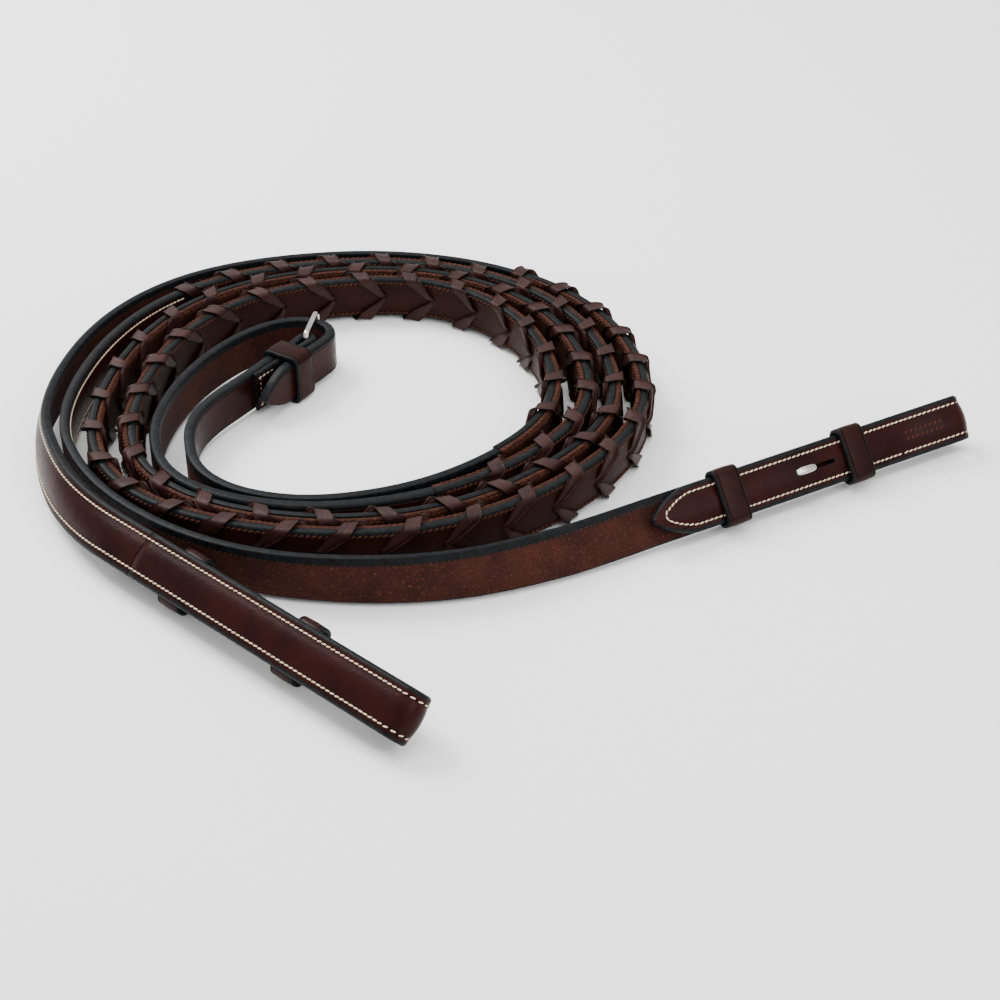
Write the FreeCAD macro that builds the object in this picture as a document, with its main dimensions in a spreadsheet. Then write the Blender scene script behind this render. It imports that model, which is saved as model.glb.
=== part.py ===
import FreeCAD, Part
import math
import os
import Sketcher

# A pair of laced leather reins, buckled together and coiled, standing on their narrow edges.
# Each rein is one long strap: a fold with a pointed billet for the bit ring, a plain bit part,
# a lined part wound with lacing, and a plain hand part that ends at the buckle.
# The straps follow routes in the XY plane. A distance along a route starts at its bit fold.

Vector = FreeCAD.Vector
doc = FreeCAD.newDocument("Reins")

drivingSizes = (
    ("stripWidth", 16.0, "width of the bit and laced parts"),
    ("handWidth", 15.0, "width of the hand parts"),
    ("stripThick", 4.0, "thickness of the bit parts"),
    ("handThick", 3.8, "thickness of the hand parts"),
    ("gripGrain", 2.6, "outer leather of the laced part"),
    ("gripLining", 1.8, "lining of the laced part"),
    ("coilHeight", 9.4, "height of the straps' middle in the coil"),
    ("leftEndHeight", 13.2, "height of the left strap's middle at its bit fold"),
    ("rightEndHeight", 7.47, "height of the right strap's middle at its bit fold"),
    ("leftEndLean", 50.0, "lean of the left free end, in degrees"),
    ("rightEndLean", 40.0, "lean of the right free end, in degrees"),
    ("shiftX", -0.59, "from the routes' own zero to the part's origin"),
    ("shiftY", -9.49, "from the routes' own zero to the part's origin"),
    ("hingeAt", 131.5, "distance from the fold to the bend of a free end"),
    ("hingeGap", 3.0, "clearance at that bend"),
    ("laceWide", 4.6, "width of the lacing"),
    ("laceThick", 1.0, "thickness of the lacing"),
    ("laceClear", 0.1, "clearance between strap and lacing"),
    ("lacePitch", 20.0, "distance between lacing slits"),
    ("laceRise", 10.0, "how far a lace runs along the strap from its edge to its slit"),
    ("billetThick", 3.0, "thickness of the billet"),
    ("billetGap", 1.6, "gap between the strap and its billet"),
    ("billetStart", 30.0, "where the fold ends and the straight billet starts"),
    ("billetEnd", 129.0, "distance from the fold to the billet's point"),
    ("billetTaper", 16.0, "length of the billet's point"),
    ("slitStart", 57.0, "end of the stud slit towards the fold"),
    ("slitEnd", 73.0, "end of the stud slit towards the point"),
    ("slitWide", 3.4, "width of the stud slit"),
    ("loopRadius", 5.7, "outer radius of the bit fold"),
    ("loopWall", 3.5, "leather thickness round the bit fold"),
    ("keeperWall", 1.6, "leather thickness of a keeper"),
    ("keeperWide", 9.5, "length of a keeper along the strap"),
    ("keeperHigh", 19.6, "outer height of a billet keeper"),
    ("nearKeeper", 48.5, "distance from the fold to the first keeper"),
    ("farKeeper", 99.5, "distance from the fold to the second keeper"),
    ("studAt", 71.0, "distance from the fold to the hook stud"),
    ("studNeck", 1.4, "radius of the stud's neck"),
    ("studHeadLong", 8.0, "length of the stud's hooked head"),
    ("studHeadWide", 3.8, "width of the stud's hooked head"),
    ("studHeadThick", 1.8, "thickness of the stud's head"),
    ("frameHigh", 18.8, "outer height of the buckle frame"),
    ("frameRail", 1.6, "height of the buckle's rails"),
    ("frameDeep", 2.2, "depth of the buckle's rails"),
    ("barRadius", 1.15, "radius of the buckle's two bars"),
    ("barSpan", 17.4, "distance between the buckle's two bars"),
    ("prongRadius", 0.9, "radius of the prong"),
    ("chapeReach", 7.0, "from the end of the hand strap to the bar inside the chape"),
    ("chapeOffset", 2.0, "from the strap's middle to the bar inside the chape"),
    ("chapeOuter", 3.9, "outer radius of the chape round the bar"),
    ("chapeBore", 1.22, "inner radius of the chape round the bar"),
    ("tipOffset", 8.2, "from the chaped strap's middle to the tip beside it"),
)

sizes = doc.addObject("Spreadsheet::Sheet", "Sizes")
for row, (alias, value, note) in enumerate(drivingSizes, start=1):
    sizes.set(f"A{row}", alias)
    sizes.set(f"B{row}", str(value))
    sizes.set(f"C{row}", note)
    sizes.setAlias(f"B{row}", alias)
doc.recompute()


def size(alias):
    return float(sizes.get(alias))


# --- Routes -------------------------------------------------------------------------------------
# Points chosen by hand where a strap isn't coiled, from the bit fold to the coil.
leftFreeRun = ((-24.9, -125.7), (-67, -89.3), (-109.5, -51.4), (-131.5, -30.9), (-148.8, -4.7))
rightFreeRun = ((159.6, 39.1), (111, 12.9), (62.3, -14.6), (38, -30.1), (12, -44.6), (-14, -53.7),
                (-45, -56.5), (-79.8, -51.9), (-111.4, -35.2), (-137.4, -8.3))
# The coil's outermost points in turn: left, top, right, bottom, and round again.
leftCompass = ((-161.8, 37), (-52, 149.2), (54, 47), (-43, -43.5), (-142, 29), (-48, 135.6),
               (33.5, 46), (-54, -28), (-118.5, 17))
rightCompass = ((-153.5, 30), (-49, 142.9), (43.5, 46), (-48, -36.2), (-129.5, 29), (-44, 127.8),
                (21.5, 46), (-58, -23.3), (-106, 15))
# From the coil's inside to the pointed tip, and from there to the buckle.
leftHandRun = ((-118.5, 17), (-117, 37.5), (-111.5, 57), (-102, 75), (-89.5, 89), (-76, 95),
               (-64.5, 91.5), (-61.5, 83), (-66.2, 75.8), (-71.6, 67.9), (-77.2, 59.1), (-84.1, 48))
rightHandRun = ((-106, 15), (-105, 28.5), (-99.5, 40.5), (-91.8, 51.4), (-73.8, 79.5))
quarterRoundness = (2.35, 2.1, 1.75, 2.25)
pointsPerQuarter = 3


def coilPoints(compass):
    """Each quarter turn between two compass points is a quarter of a superellipse."""
    points = []
    for index in range(len(compass) - 1):
        (startX, startY), (endX, endY) = compass[index], compass[index + 1]
        power = 2 / quarterRoundness[index % 4]
        for step in range(pointsPerQuarter):
            angle = math.pi / 2 * step / pointsPerQuarter
            near = math.cos(angle) ** power
            far = math.sin(angle) ** power
            if index % 2 == 0:
                points.append((endX + (startX - endX) * near, startY + (endY - startY) * far))
            else:
                points.append((startX + (endX - startX) * far, endY + (startY - endY) * near))
    return points


def placed(points):
    return [Vector(x + size("shiftX"), y + size("shiftY"), 0) for x, y in points]


def leftNormal(direction):
    return Vector(-direction.y, direction.x, 0)


class Run:
    """A straight run of a route."""

    def __init__(self, start, end):
        self.start = start
        self.direction = (end - start).normalize()
        self.length = (end - start).Length

    def at(self, distance, offset):
        return self.start + self.direction * distance + leftNormal(self.direction) * offset

    def directionAt(self, distance):
        return self.direction

    def curve(self, first, last, offset):
        return Part.LineSegment(self.at(first, offset), self.at(last, offset))


class Bend:
    """A tangent arc between two runs."""

    def __init__(self, centre, start, turn):
        self.centre = centre
        self.radius = (start - centre).Length
        self.startAngle = math.atan2(start.y - centre.y, start.x - centre.x)
        self.turn = turn
        self.side = -1 if turn > 0 else 1
        self.length = self.radius * abs(turn)

    def angleAt(self, distance):
        return self.startAngle + self.turn * distance / self.length

    def at(self, distance, offset):
        angle = self.angleAt(distance)
        radius = self.radius + self.side * offset
        return self.centre + Vector(math.cos(angle), math.sin(angle), 0) * radius

    def directionAt(self, distance):
        angle = self.angleAt(distance)
        return Vector(math.sin(angle), -math.cos(angle), 0) * self.side

    def curve(self, first, last, offset):
        circle = Part.Circle(self.centre, Vector(0, 0, 1), self.radius + self.side * offset)
        angles = sorted((self.angleAt(first), self.angleAt(last)))
        return Part.ArcOfCircle(circle, angles[0], angles[1])


class Route:
    """Straight runs joined by tangent arcs, each as large as its two runs allow."""

    def __init__(self, name, points):
        self.endHeight = size(name + "EndHeight")
        self.endLean = size(name + "EndLean")
        self.spans = []
        lastPoint = points[0]
        for before, corner, after in zip(points, points[1:], points[2:]):
            arrive = (corner - before).normalize()
            leave = (after - corner).normalize()
            turn = math.atan2(arrive.cross(leave).z, arrive.dot(leave))
            cut = 0.45 * min((corner - before).Length, (after - corner).Length)
            radius = cut / math.tan(abs(turn) / 2)
            arcStart = corner - arrive * cut
            side = 1 if turn > 0 else -1
            self.spans.append(Run(lastPoint, arcStart))
            self.spans.append(Bend(arcStart + leftNormal(arrive) * radius * side, arcStart, turn))
            lastPoint = corner + leave * cut
        self.spans.append(Run(lastPoint, points[-1]))
        self.length = sum(span.length for span in self.spans)
        radii = [round(span.radius) for span in self.spans if isinstance(span, Bend)]
        print(name, "rein:", round(self.length), "mm, bend radii", radii)

    def find(self, distance):
        for span in self.spans:
            if distance <= span.length:
                return span, distance
            distance -= span.length
        return span, span.length

    def at(self, distance, offset=0):
        span, along = self.find(distance)
        return span.at(along, offset)

    def directionAt(self, distance):
        span, along = self.find(distance)
        return span.directionAt(along)

    def curves(self, first, last, offset):
        """The edges of the route between two distances, moved sideways by offset."""
        found = []
        passed = 0
        for span in self.spans:
            low = max(first - passed, 0)
            high = min(last - passed, span.length)
            if high - low > 0.001:
                found.append(span.curve(low, high, offset))
            passed += span.length
        return found

    def outline(self, first, last, right, left):
        """A closed outline between two sideways offsets."""
        sides = self.curves(first, last, right) + self.curves(first, last, left)
        ends = [Part.LineSegment(self.at(distance, right), self.at(distance, left))
                for distance in (first, last)]
        return sides + ends


leftRoute = Route("left", placed(leftFreeRun + tuple(coilPoints(leftCompass)) + leftHandRun))
rightRoute = Route("right", placed(rightFreeRun + tuple(coilPoints(rightCompass)) + rightHandRun))


# --- Makers -------------------------------------------------------------------------------------
def newBody(label):
    body = doc.addObject("PartDesign::Body", label)
    body.Label = label
    return body


def newSketch(body, role):
    sketch = body.newObject("Sketcher::SketchObject", body.Name + "Sketch")
    plane = [item for item in body.Origin.OriginFeatures if item.Role == role][0]
    sketch.AttachmentSupport = [(plane, "")]
    sketch.MapMode = "FlatFace"
    return sketch


def pad(body, sketch, length, midplane=False):
    feature = body.newObject("PartDesign::Pad", body.Name + "Pad")
    feature.Profile = sketch
    feature.SideType = "Symmetric" if midplane else "One side"
    feature.setExpression("Length", length)
    sketch.Visibility = False
    return feature


def band(label, route, first, last, right, left, width):
    """A strap of the coil: its outline seen from above, padded to the strap's width."""
    body = newBody(label)
    sketch = newSketch(body, "XY_Plane")
    sketch.addGeometry(route.outline(first, last, right, left), False)
    pad(body, sketch, f"Sizes.{width}")
    body.setExpression("Placement.Base.z", f"Sizes.coilHeight - Sizes.{width} / 2")
    return body


def leanAt(route, distance, leanEnd, leanPower):
    """The lean fades to nothing at leanEnd, as a power of the share of the way still to go."""
    share = (leanEnd - distance) / (leanEnd - size("hingeAt"))
    return route.endLean * min(max(share, 0), 1) ** leanPower


def crossFrame(route, distance, lean):
    """Middle, sideways and upward directions of a strap that leans by the given angle."""
    sideways = leftNormal(route.directionAt(distance))
    angle = math.radians(lean)
    rise = (route.endHeight - size("coilHeight")) * lean / route.endLean
    middle = route.at(distance) + Vector(0, 0, size("coilHeight") + rise)
    across = sideways * math.cos(angle) + Vector(0, 0, math.sin(angle))
    upward = Vector(0, 0, math.cos(angle)) - sideways * math.sin(angle)
    return middle, across, upward


def leaningStrap(label, route, first, last, leanEnd, leanPower):
    """A strap through leaning rectangular sections, joined by ruled faces."""
    stationSpacing = 7.0
    count = math.ceil((last - first) / stationSpacing)
    wires = []
    for index in range(count + 1):
        distance = first + (last - first) * index / count
        middle, across, upward = crossFrame(route, distance,
                                            leanAt(route, distance, leanEnd, leanPower))
        halfThick = across * (size("stripThick") / 2)
        halfWide = upward * (size("stripWidth") / 2)
        corners = [middle - halfThick - halfWide, middle + halfThick - halfWide,
                   middle + halfThick + halfWide, middle - halfThick + halfWide]
        wires.append(Part.makePolygon(corners + corners[:1]))
    strap = doc.addObject("Part::Feature", label)
    strap.Label = label
    strap.Shape = Part.makeLoft(wires, True, True)
    return strap


def freeEndPlacement(route):
    """X runs back along the strap from the fold, Y across its thickness, Z up its width."""
    middle, across, upward = crossFrame(route, 0, route.endLean)
    along = route.at(size("hingeAt") + size("hingeGap") / 2) - route.at(0)
    rotation = FreeCAD.Rotation(along.normalize(), across, upward, "XZY")
    return FreeCAD.Placement(middle, rotation)


def addRectangle(sketch, width, height, x="0", y="0"):
    """A rectangle whose size and middle are bound to the sheet."""
    low = -10.0
    high = 10.0
    corners = [Vector(low, low, 0), Vector(high, low, 0), Vector(high, high, 0), Vector(low, high, 0)]
    first = sketch.GeometryCount
    for start, end in zip(corners, corners[1:] + corners[:1]):
        sketch.addGeometry(Part.LineSegment(start, end), False)
    for side in range(4):
        sketch.addConstraint(Sketcher.Constraint("Coincident", first + side, 2,
                                                 first + (side + 1) % 4, 1))
    for side, kind in enumerate(("Horizontal", "Vertical", "Horizontal", "Vertical")):
        sketch.addConstraint(Sketcher.Constraint(kind, first + side))
    measured = (
        ("DistanceX", (first, 1, first, 2), high - low, width),
        ("DistanceY", (first + 1, 1, first + 1, 2), high - low, height),
        ("DistanceX", (-1, 1, first, 2), high, f"{x} + ({width}) / 2"),
        ("DistanceY", (-1, 1, first + 1, 2), high, f"{y} + ({height}) / 2"),
    )
    for kind, places, start, expression in measured:
        constraint = sketch.addConstraint(Sketcher.Constraint(kind, *places, start))
        sketch.setExpression(f"Constraints[{constraint}]", expression)


def addPolygon(sketch, points):
    corners = [Vector(x, y, 0) for x, y in points]
    for start, end in zip(corners, corners[1:] + corners[:1]):
        sketch.addGeometry(Part.LineSegment(start, end), False)


def addArc(sketch, centre, radius, startAngle, endAngle):
    circle = Part.Circle(Vector(centre[0], centre[1], 0), Vector(0, 0, 1), radius)
    sketch.addGeometry(Part.ArcOfCircle(circle, startAngle, endAngle), False)


def ring(label, widthInside, heightInside, wall, length, role="YZ_Plane", x="0"):
    """A closed leather loop or metal frame: one rectangle inside another, padded."""
    body = newBody(label)
    sketch = newSketch(body, role)
    addRectangle(sketch, f"{widthInside} + 2 * {wall}", f"{heightInside} + 2 * {wall}", x)
    addRectangle(sketch, widthInside, heightInside, x)
    pad(body, sketch, length, True)
    return body


def fused(label, pieces):
    union = doc.addObject("Part::MultiFuse", label)
    union.Label = label
    union.Shapes = pieces
    return union


def cut(label, base, tool):
    """The cut takes the label, and what it is cut from gets a working name."""
    base.Label = label + "_blank"
    result = doc.addObject("Part::Cut", label)
    result.Label = label
    result.Base = base
    result.Tool = tool
    return result


def helper(kind, name):
    """A primitive that is only part of another piece."""
    item = doc.addObject(kind, name)
    item.Label = name
    return item


# --- Free ends: strap, fold, billet, keepers and hook stud ---------------------------------------
def bitEnd(side, route):
    body = newBody(side + "_bit_end")
    sketch = newSketch(body, "XZ_Plane")
    foldEnd = size("loopRadius") + 6
    length = size("hingeAt") - foldEnd
    addRectangle(sketch, str(length), "Sizes.stripWidth", f"{foldEnd + length / 2}")
    pad(body, sketch, "Sizes.stripThick", True)
    body.Placement = freeEndPlacement(route)
    return body


def bitLoop(side, route, facing):
    """The fold, drawn in the plane of the strap's thickness."""
    body = newBody(side + "_bit_loop")
    sketch = newSketch(body, "XY_Plane")
    strapFace = size("stripThick") / 2
    outerRadius = size("loopRadius")
    middle = outerRadius - strapFace
    innerFace = 2 * outerRadius - strapFace - size("loopWall")
    innerRadius = (innerFace - strapFace) / 2
    billetInner = strapFace + size("billetGap")
    billetOuter = billetInner + size("billetThick")
    strapEnd = outerRadius + 6
    lines = (
        ((outerRadius, -strapFace), (strapEnd, -strapFace)),
        ((strapEnd, -strapFace), (strapEnd, strapFace)),
        ((strapEnd, strapFace), (outerRadius, strapFace)),
        ((outerRadius, innerFace), (size("billetStart"), billetInner)),
        ((size("billetStart"), billetInner), (size("billetStart"), billetOuter)),
        ((size("billetStart"), billetOuter), (outerRadius, middle + outerRadius)),
    )
    for (startX, startY), (endX, endY) in lines:
        start = Vector(startX, facing * startY, 0)
        end = Vector(endX, facing * endY, 0)
        sketch.addGeometry(Part.LineSegment(start, end), False)
    quarter = math.pi / 2
    addArc(sketch, (outerRadius, facing * (strapFace + innerRadius)), innerRadius, quarter, 3 * quarter)
    addArc(sketch, (outerRadius, facing * middle), outerRadius, quarter, 3 * quarter)
    pad(body, sketch, "Sizes.stripWidth", True)
    body.Placement = freeEndPlacement(route)
    return body


def billet(side, route, facing):
    """The turned-back end: straight edges, a pointed end and the slit for the stud."""
    body = newBody(side + "_billet")
    sketch = newSketch(body, "XZ_Plane")
    half = size("stripWidth") / 2
    tip = size("billetEnd")
    shoulder = tip - size("billetTaper")
    shape = ((size("billetStart"), -half), (shoulder, -half), (shoulder + 9, -half + 1.6),
             (tip - 2.4, -half + 5.2), (tip, -1.4), (tip, 1.4), (tip - 2.4, half - 5.2),
             (shoulder + 9, half - 1.6), (shoulder, half), (size("billetStart"), half))
    addPolygon(sketch, shape)
    addRectangle(sketch, "Sizes.slitEnd - Sizes.slitStart", "Sizes.slitWide",
                 "(Sizes.slitEnd + Sizes.slitStart) / 2")
    pad(body, sketch, "Sizes.billetThick", True)
    middle = size("stripThick") / 2 + size("billetGap") + size("billetThick") / 2
    place = freeEndPlacement(route)
    body.Placement = place.multiply(FreeCAD.Placement(Vector(0, facing * middle, 0), FreeCAD.Rotation()))
    return body


def billetKeeper(side, name, route, facing, station):
    """A loop round the billet alone, its back leg sewn flat against the strap."""
    inside = size("billetThick") + size("billetGap") - 0.8
    body = ring(f"{side}_{name}_keeper", str(inside), "Sizes.keeperHigh - 2 * Sizes.keeperWall",
                "Sizes.keeperWall", "Sizes.keeperWide")
    middle = size("stripThick") / 2 + size("keeperWall") + inside / 2
    offset = FreeCAD.Placement(Vector(size(station), facing * middle, 0), FreeCAD.Rotation())
    body.Placement = freeEndPlacement(route).multiply(offset)
    return body


def hookStud(side, route, facing):
    """Base plate against the strap, a neck through the slit and a long hooked head."""
    strapFace = size("stripThick") / 2
    plateThick = 1.2
    plateLong = 9.0
    plateWide = 7.0
    headFace = strapFace + size("billetGap") + size("billetThick") + 0.3
    turned = FreeCAD.Rotation(Vector(1, 0, 0), -90 * facing)
    parts = []
    plate = helper("Part::Box", side + "StudPlate")
    plate.Length = plateLong
    plate.Width = plateThick
    plate.Height = plateWide
    low = strapFace if facing > 0 else -strapFace - plateThick
    plate.Placement.Base = Vector(size("studAt") - plateLong / 2, low, -plateWide / 2)
    parts.append(plate)
    neck = helper("Part::Cylinder", side + "StudNeck")
    neck.setExpression("Radius", "Sizes.studNeck")
    neck.Height = headFace - strapFace
    neck.Placement = FreeCAD.Placement(Vector(size("studAt"), facing * (strapFace + 0.2), 0), turned)
    parts.append(neck)
    head = helper("Part::Cylinder", side + "StudHead")
    head.setExpression("Radius", "Sizes.studHeadWide / 2")
    head.setExpression("Height", "Sizes.studHeadThick")
    head.Placement = FreeCAD.Placement(Vector(size("studAt"), facing * headFace, 0), turned)
    parts.append(head)
    hook = helper("Part::Cone", side + "StudHook")
    hook.setExpression("Radius1", "Sizes.studHeadWide / 2")
    hook.Radius2 = 0.7
    hook.setExpression("Height", "Sizes.studHeadLong - Sizes.studHeadWide / 2")
    across = facing * (headFace + size("studHeadThick") / 2)
    alongStrap = FreeCAD.Rotation(Vector(0, 1, 0), -90)
    hook.Placement = FreeCAD.Placement(Vector(size("studAt"), across, 0), alongStrap)
    slab = helper("Part::Box", side + "StudSlab")
    slab.Length = 30
    slab.setExpression("Width", "Sizes.studHeadThick")
    slab.Height = 12
    slabLow = headFace if facing > 0 else -headFace - size("studHeadThick")
    slab.Placement.Base = Vector(size("studAt") - 20, slabLow, -6)
    flatHook = helper("Part::Common", side + "StudFlat")
    flatHook.Base = hook
    flatHook.Tool = slab
    parts.append(flatHook)
    stud = fused(side + "_hook_stud", parts)
    stud.Placement = freeEndPlacement(route)
    return stud


# --- Coil: bit, laced and hand parts -------------------------------------------------------------
def lacing(label, route, first, last):
    """Lace wraps: a V on each face and a turn over each edge, cut from concentric bands."""
    stripHalf = size("stripWidth") / 2
    faceHalf = (size("gripGrain") + size("gripLining")) / 2
    clear = size("laceClear")
    thick = size("laceThick")
    top = stripHalf + clear + thick
    pitch = size("lacePitch")
    rise = size("laceRise")
    spread = size("laceWide") / 2 * math.hypot(rise, stripHalf) / stripHalf
    outer = faceHalf + clear + thick
    middle = size("coilHeight")

    def slab(start, end, right, left, low, high):
        edges = [curve.toShape() for curve in route.outline(start, end, right, left)]
        wire = Part.Wire(Part.sortEdges(edges)[0])
        wire.translate(Vector(0, 0, middle + low))
        return Part.Face(wire).extrude(Vector(0, 0, high - low))

    def chevron(slit, edge, right, left):
        """One V between its slit in the middle and the strap's two edges."""
        low = min(slit, edge) - spread - 1
        high = max(slit, edge) + spread + 1
        shell = slab(low, high, right, left, -top, top)
        centre = route.at(slit)
        along = route.directionAt((slit + edge) / 2)
        sideways = leftNormal(along)
        shift = edge - slit
        shape = ((shift - spread, top), (shift + spread, top), (spread, 0), (shift + spread, -top),
                 (shift - spread, -top), (-spread, 0))
        reach = 9.0
        corners = [centre + along * x + Vector(0, 0, middle + z) - sideways * reach for x, z in shape]
        face = Part.Face(Part.makePolygon(corners + corners[:1]))
        return shell.common(face.extrude(sideways * 2 * reach))

    wraps = []
    slit = first + pitch / 2
    while slit + rise < last:
        edge = slit - rise
        parts = [chevron(slit, edge, faceHalf + clear, outer)]
        if slit - pitch > first:
            parts.append(chevron(slit - pitch, edge, -outer, -faceHalf - clear))
        for low, high in ((stripHalf + clear, top), (-top, -stripHalf - clear)):
            parts.append(slab(edge - spread, edge + spread, -outer, outer, low, high))
        wraps.append(parts[0].fuse(parts[1:]).removeSplitter())
        slit += pitch
    item = doc.addObject("Part::Feature", label)
    item.Label = label
    item.Shape = Part.makeCompound(wraps)
    return item


def coilStraps(side, route, grainSide, leanEnd, leanPower, laced, handEnd):
    """The straps of one rein from its bend to the end of its hand part."""
    halfGrip = (size("gripGrain") + size("gripLining")) / 2
    seam = grainSide * (halfGrip - size("gripGrain"))
    halfHand = size("handThick") / 2
    first = size("hingeAt") + size("hingeGap")
    straps = [leaningStrap(side + "_bit_strap", route, first, laced[0], leanEnd, leanPower)]
    for name, face in (("grip_strap", halfGrip), ("grip_lining", -halfGrip)):
        low, high = sorted((grainSide * face, seam))
        straps.append(band(f"{side}_{name}", route, laced[0], laced[1], low, high, "stripWidth"))
    straps.append(lacing(side + "_lacing", route, laced[0], laced[1]))
    straps.append(band(side + "_hand_strap", route, laced[1], handEnd, -halfHand, halfHand, "handWidth"))
    return straps


leftLaced = (455.0, 1200.0)
rightLaced = (470.0, 1240.0)
tipTaper = 14.0
chapeStart = rightRoute.length - 5.2
subParts = []
subParts += coilStraps("left", leftRoute, 1, 345.0, 3, leftLaced, leftRoute.length)
subParts += coilStraps("right", rightRoute, -1, 300.0, 2, rightLaced, chapeStart)
for side, route, facing in (("left", leftRoute, -1), ("right", rightRoute, 1)):
    subParts.append(bitEnd(side, route))
    subParts.append(bitLoop(side, route, facing))
    subParts.append(billet(side, route, facing))
    subParts.append(billetKeeper(side, "near", route, facing, "nearKeeper"))
    subParts.append(billetKeeper(side, "far", route, facing, "farKeeper"))
    subParts.append(hookStud(side, route, facing))

# --- Buckle: the right rein's chape holds it, the left rein's tip passes through it ---------------
chapeLength = 21.5
chapeEndFace = 4.2
chapeRise = 5.2
slotHigh = 4.4
prongTurn = 6.9
prongPast = 1.6


def chapePlacement():
    """X runs along the chape towards the buckle, Y to the side where the tip lies."""
    start = rightRoute.at(chapeStart)
    along = rightRoute.directionAt(chapeStart)
    rotation = FreeCAD.Rotation(along, leftNormal(along) * -1, Vector(0, 0, -1), "XZY")
    return FreeCAD.Placement(start + Vector(0, 0, size("coilHeight")), rotation)


def chape():
    """Strap end turned back round the bar and sewn down, with a slot for the prong."""
    body = newBody("right_chape")
    sketch = newSketch(body, "XY_Plane")
    half = size("handThick") / 2
    barX = size("chapeReach")
    barY = size("chapeOffset")
    outer = size("chapeOuter")
    outline = ((barX, barY + outer), (2 - chapeLength / 2, chapeRise), (-chapeLength, chapeEndFace),
               (-chapeLength, half + 0.05), (0.01, half + 0.05), (0.01, -half), (barX, barY - outer))
    corners = [Vector(x, y, 0) for x, y in outline]
    for start, end in zip(corners, corners[1:]):
        sketch.addGeometry(Part.LineSegment(start, end), False)
    addArc(sketch, (barX, barY), outer, -math.pi / 2, math.pi / 2)
    bore = Part.Circle(Vector(barX, barY, 0), Vector(0, 0, 1), size("chapeBore"))
    sketch.addGeometry(bore, False)
    pad(body, sketch, "Sizes.handWidth", True)
    slotSketch = newSketch(body, "XZ_Plane")
    addRectangle(slotSketch, str(2 * outer), str(slotHigh), str(barX + 0.4 * outer))
    pocket = body.newObject("PartDesign::Pocket", "ChapeSlot")
    pocket.Profile = slotSketch
    pocket.Type = "ThroughAll"
    pocket.Midplane = True
    body.Placement = chapePlacement()
    return body


def barCentre():
    offset = FreeCAD.Placement(Vector(size("chapeReach"), size("chapeOffset"), 0), FreeCAD.Rotation())
    return chapePlacement().multiply(offset).Base


frameTurn = math.radians(81.5)
frameAlong = Vector(math.cos(frameTurn), math.sin(frameTurn), 0)
frameCentre = barCentre()
framePlacement = FreeCAD.Placement(frameCentre, FreeCAD.Rotation(Vector(0, 0, 1), math.degrees(frameTurn)))


def buckleFrame():
    """Two rails joined by the chape bar and the front bar."""
    pieces = []
    for name, low in (("Top", 1), ("Bottom", -1)):
        rail = helper("Part::Box", "Buckle" + name + "Rail")
        rail.setExpression("Length", "Sizes.barSpan")
        rail.setExpression("Width", "Sizes.frameDeep")
        rail.setExpression("Height", "Sizes.frameRail")
        railMiddle = low * (size("frameHigh") - size("frameRail")) / 2
        rail.Placement.Base = Vector(0, -size("frameDeep") / 2, railMiddle - size("frameRail") / 2)
        pieces.append(rail)
    for name, x in (("Chape", 0), ("Front", size("barSpan"))):
        bar = helper("Part::Cylinder", "Buckle" + name + "Bar")
        bar.setExpression("Radius", "Sizes.barRadius")
        bar.setExpression("Height", "Sizes.frameHigh")
        bar.Placement.Base = Vector(x, 0, -size("frameHigh") / 2)
        pieces.append(bar)
    frame = fused("buckle_frame", pieces)
    frame.Placement = framePlacement
    return frame


def buckleProng():
    """An eye round the chape bar and a straight prong that rests beside the front bar."""
    eyeWall = 1.1
    eyeHigh = 3.2
    clear = 0.06
    outer = helper("Part::Cylinder", "ProngEye")
    outer.setExpression("Radius", f"Sizes.barRadius + {clear} + {eyeWall}")
    outer.Height = eyeHigh
    outer.Placement.Base = Vector(0, 0, -eyeHigh / 2)
    shaft = helper("Part::Cylinder", "ProngShaft")
    shaft.setExpression("Radius", "Sizes.prongRadius")
    shaft.setExpression("Height", f"Sizes.barSpan + {prongPast} - Sizes.barRadius")
    shaft.Placement = FreeCAD.Placement(Vector(size("barRadius"), 0, 0),
                                        FreeCAD.Rotation(Vector(0, 1, 0), 90))
    bore = helper("Part::Cylinder", "ProngBore")
    bore.setExpression("Radius", f"Sizes.barRadius + {clear}")
    bore.Height = 2 * eyeHigh
    bore.Placement.Base = Vector(0, 0, -eyeHigh)
    blank = fused("prong", [outer, shaft])
    prong = cut("buckle_prong", blank, bore)
    turn = math.degrees(frameTurn) - prongTurn
    prong.Placement = FreeCAD.Placement(frameCentre, FreeCAD.Rotation(Vector(0, 0, 1), turn))
    return prong


def buckleKeeper():
    """The fixed keeper behind the buckle, round the strap, its chape and the tip."""
    clear = 0.3
    low = -size("handThick") / 2 - clear
    high = size("tipOffset") + size("handThick") / 2 + clear
    body = ring("buckle_keeper", str(high - low), "Sizes.frameHigh - 2 * Sizes.keeperWall",
                "Sizes.keeperWall", "Sizes.keeperWide")
    keeperBack = 6.1
    offset = FreeCAD.Placement(Vector(-keeperBack, (low + high) / 2, 0), FreeCAD.Rotation())
    body.Placement = chapePlacement().multiply(offset)
    return body


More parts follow.
